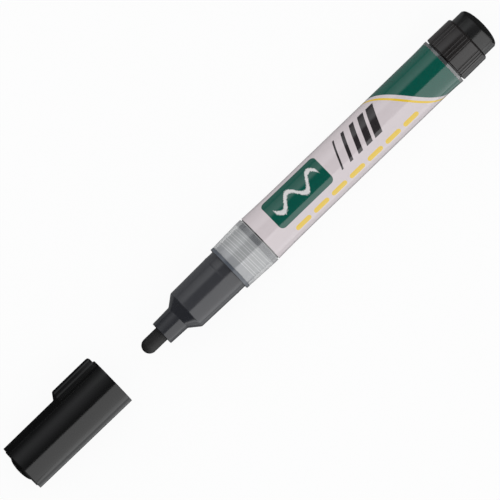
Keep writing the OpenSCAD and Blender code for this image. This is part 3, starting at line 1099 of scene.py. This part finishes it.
def stage_plane(name, low, high, z, material):
    mesh = bpy.data.meshes.new(name)
    (x0, y0), (x1, y1) = low, high
    corners = ((x0, y0), (x1, y0), (x1, y1), (x0, y1))
    mesh.from_pydata([(x * MM, y * MM, z * MM) for x, y in corners], [], [(0, 1, 2, 3)])
    plane = bpy.data.objects.new(name, mesh)
    bpy.context.scene.collection.objects.link(plane)
    mesh.materials.append(material)
    return plane


def either_shader(tree, share, one, two, out):
    """Sends a mix of two shaders to an output: the second one's share is given as a socket."""
    mix = tree.nodes.new("ShaderNodeMixShader")
    tree.links.new(share, mix.inputs[0])
    tree.links.new(one.outputs[0], mix.inputs[1])
    tree.links.new(two.outputs[0], mix.inputs[2])
    tree.links.new(mix.outputs[0], out.inputs[0])


def floor_material():
    material = bpy.data.materials.new("floor_white")
    material.use_nodes = True
    tree = material.node_tree
    tree.nodes.clear()
    out = tree.nodes.new("ShaderNodeOutputMaterial")
    path = tree.nodes.new("ShaderNodeLightPath")
    diffuse = tree.nodes.new("ShaderNodeBsdfDiffuse")
    diffuse.inputs["Color"].default_value = (FLOOR_GREY, FLOOR_GREY, FLOOR_GREY, 1)
    glow = tree.nodes.new("ShaderNodeEmission")
    glow.inputs["Strength"].default_value = 1
    seen = Sum(tree, path.outputs["Is Camera Ray"]).either(
        Sum(tree, path.outputs["Is Transmission Ray"])) * FLOOR_WHITE_SHARE
    either_shader(tree, seen.socket, diffuse, glow, out)
    return material


stage_plane("floor", (-FLOOR_HALF, -FLOOR_HALF), (FLOOR_HALF, FLOOR_HALF), floor_z,
            floor_material())

# Cards, seen by reflections only: they stand for the dark surroundings in the photograph

CARD_GAP = 0.2
CARD_FAR_X = 900
CARD_FAR_Y = 700
CARD_NEAR_Y = -15
CAP_CARD_NEAR_Y = -12
CAP_SIDE_X = -92
POST_SIDE_X = 44
PAST_TIP = 2
OVERHEAD_LOW, OVERHEAD_HIGH, OVERHEAD_Z = (-99, -61), (75, 135), 200
CARD_BLACK = 0.02
CARD_GREY = 0.27


def card_material(name, shade):
    material, _, shader = new_material(name)
    shader.inputs["Base Color"].default_value = (shade, shade, shade, 1)
    shader.inputs["Roughness"].default_value = 1
    return material


card_black = card_material("card_dark", CARD_BLACK)
card_grey = card_material("card_grey", CARD_GREY)
card_z = floor_z + CARD_GAP
cap_end_x, tail_end_x = dome_tip - PAST_TIP, plug_tip + PAST_TIP
for name, low, high, z, material in (
    ("card_side_cap", (-CARD_FAR_X, CAP_CARD_NEAR_Y), (CAP_SIDE_X, CARD_FAR_Y), card_z,
     card_black),
    ("card_side", (CAP_SIDE_X, CARD_NEAR_Y), (POST_SIDE_X, CARD_FAR_Y), card_z, card_grey),
    ("card_side_post", (POST_SIDE_X, CARD_NEAR_Y), (CARD_FAR_X, CARD_FAR_Y), card_z, card_black),
    ("card_cap_end", (-CARD_FAR_X, -CARD_FAR_Y), (cap_end_x, CARD_NEAR_Y), card_z, card_black),
    ("card_tail_end", (tail_end_x, -CARD_FAR_Y), (CARD_FAR_X, CARD_NEAR_Y), card_z, card_black),
    ("card_above", OVERHEAD_LOW, OVERHEAD_HIGH, OVERHEAD_Z, card_black),
):
    card = stage_plane(name, low, high, z, material)
    card.visible_camera = card.visible_diffuse = card.visible_shadow = False
    card.visible_transmission = False

# Lamps: degrees are turned from straight up towards the near side, and distances from the axis

LAMP_MIDDLE_X = -40
BAND_TOP, BAND_LOW = 17.3, 90.6
BAND_DISTANCE, BAND_LEN, BAND_RADIANCE = 620, 900, 1.3
KEY_LOW = 89.3
KEY_DISTANCE = 640
WASH_NEAR, WASH_FAR = 10, -75
WASH_DISTANCE = 760
SOFT_LEN, SOFT_RADIANCE = 2200, 0.42
STRIP_TOP, STRIP_LOW = -40, -84
STRIP_DISTANCE, STRIP_LEN, STRIP_RADIANCE = 300, 169, 0.32
STRIP_MIDDLE_X = -14.5
BOUNCE_NEAR_Y, BOUNCE_FAR_Y = -34, -620
BOUNCE_LEN, BOUNCE_RADIANCE = 320, 0.78
BOUNCE_MIDDLE_X = -55
BOUNCE_GAP = 1


def from_top(degrees, distance):
    """A place (y, z) that far from the axis, turned from straight up towards -Y."""
    a = math.radians(degrees)
    return -distance * math.sin(a), distance * math.cos(a)


def panel(name, low, high, length, radiance, middle=LAMP_MIDDLE_X, diffuse=True, glossy=True):
    """A long soft box whose edges lie at two places (y, z) in the cross plane, facing the axis."""
    (y0, z0), (y1, z1) = low, high
    centre = Vector((middle, (y0 + y1) / 2, (z0 + z1) / 2)) * MM
    light = bpy.data.lights.new(name, "AREA")
    light.shape = "RECTANGLE"
    light.size, light.size_y = length * MM, math.hypot(y1 - y0, z1 - z0) * MM
    light.energy = radiance * math.pi * light.size * light.size_y
    lamp = bpy.data.objects.new(name, light)
    bpy.context.scene.collection.objects.link(lamp)
    along = Vector((1, 0, 0))
    across = Vector((0, y1 - y0, z1 - z0)).normalized()
    facing = along.cross(across)
    if facing.dot(centre - Vector((middle * MM, 0, 0))) < 0:
        facing, across = -facing, -across
    lamp.matrix_world = Matrix.Translation(centre) @ Matrix(
        (along, across, facing)).transposed().to_4x4()
    lamp.visible_camera = False
    lamp.visible_diffuse, lamp.visible_glossy = diffuse, glossy
    return lamp


# The bright band on the near side, for reflections alone
panel("soft_box", from_top(BAND_TOP, BAND_DISTANCE), from_top(BAND_LOW, BAND_DISTANCE),
      BAND_LEN, BAND_RADIANCE, diffuse=False)
# Soft light from the near side and from above the far side, without reflections
panel("key", from_top(BAND_TOP, KEY_DISTANCE), from_top(KEY_LOW, KEY_DISTANCE),
      SOFT_LEN, SOFT_RADIANCE, glossy=False)
panel("wash", from_top(WASH_NEAR, WASH_DISTANCE), from_top(WASH_FAR, WASH_DISTANCE),
      SOFT_LEN, SOFT_RADIANCE, glossy=False)
# A weaker band on the far side of nose and barrel, for reflections alone
panel("strip", from_top(STRIP_TOP, STRIP_DISTANCE), from_top(STRIP_LOW, STRIP_DISTANCE),
      STRIP_LEN, STRIP_RADIANCE, STRIP_MIDDLE_X, diffuse=False)
# The floor's shine on the low near side, which faces up
bounce_z = floor_z + BOUNCE_GAP
panel("bounce", (BOUNCE_NEAR_Y, bounce_z), (BOUNCE_FAR_Y, bounce_z),
      BOUNCE_LEN, BOUNCE_RADIANCE, BOUNCE_MIDDLE_X, diffuse=False)

# World: white for the camera, even for soft light, and a dim glow above the far side in reflections

GLOW_MIDDLE = math.radians(44)
GLOW_SPREAD = math.radians(31)
GLOW_NEAR_RATE = 0.85
GLOW_FAR_RATE = 1.2
GLOW_PEAK = 0.4
GLOW_LEAST = 0.04
ENDS_FROM = 0.55
ENDS_SOFT = 0.25
ENDS_SHARE = 0.05
SOFT_LIGHT = 0.56
SKY_TINT = (0.96, 0.98, 1, 1)


def build_world():
    world = bpy.context.scene.world or bpy.data.worlds.new("world")
    bpy.context.scene.world = world
    world.use_nodes = True
    tree = world.node_tree
    tree.nodes.clear()
    out = tree.nodes.new("ShaderNodeOutputWorld")
    path = tree.nodes.new("ShaderNodeLightPath")
    where = tree.nodes.new("ShaderNodeTexCoord")
    split = tree.nodes.new("ShaderNodeSeparateXYZ")
    tree.links.new(where.outputs["Generated"], split.inputs[0])
    to_x, to_y, to_z = (Sum(tree, split.outputs[i]) for i in range(3))
    turn = (to_y.turned_from(to_z) - GLOW_MIDDLE) / GLOW_SPREAD
    turn = turn.both(0) * GLOW_NEAR_RATE + turn.either(0) * GLOW_FAR_RATE
    glow = turn.bell() * GLOW_PEAK + GLOW_LEAST
    ends = (to_x.size() - ENDS_FROM).edge(ENDS_SOFT) * (1 - ENDS_SHARE) + ENDS_SHARE
    mirrored = Sum(tree, path.outputs["Is Glossy Ray"])
    ambient = tree.nodes.new("ShaderNodeBackground")
    ambient.inputs["Color"].default_value = SKY_TINT
    level = glow * ends * mirrored + (-mirrored + 1) * SOFT_LIGHT
    tree.links.new(level.socket, ambient.inputs["Strength"])
    backdrop = tree.nodes.new("ShaderNodeBackground")
    backdrop.inputs["Strength"].default_value = 1
    either_shader(tree, path.outputs["Is Camera Ray"], ambient, backdrop, out)


build_world()

# Camera: above the marker and far away, turned so that the axis rises to the right

AXIS_ANGLE = math.radians(43.94)
TILT = math.radians(-1.3)
FRAME_WIDTH = 145
LENS = 1600
SENSOR = 36
TARGET = Vector((-50.65, -0.29, 0))
CLIP_METRES = (0.05, 20)

look = Vector((math.sin(TILT), 0, math.cos(TILT)))
along = Vector((math.cos(TILT), 0, -math.sin(TILT)))
side = Vector((0, 1, 0))
right = along * math.cos(AXIS_ANGLE) - side * math.sin(AXIS_ANGLE)
up = along * math.sin(AXIS_ANGLE) + side * math.cos(AXIS_ANGLE)
distance = FRAME_WIDTH * LENS / SENSOR

camera_data = bpy.data.cameras.new("camera")
camera_data.lens = LENS
camera_data.sensor_width = SENSOR
camera_data.clip_start, camera_data.clip_end = CLIP_METRES
camera = bpy.data.objects.new("camera", camera_data)
bpy.context.scene.collection.objects.link(camera)
camera.matrix_world = Matrix.Translation((TARGET + look * distance) * MM) @ Matrix(
    (right, up, look)).transposed().to_4x4()
bpy.context.scene.camera = camera

bpy.context.scene.view_settings.view_transform = "Standard"
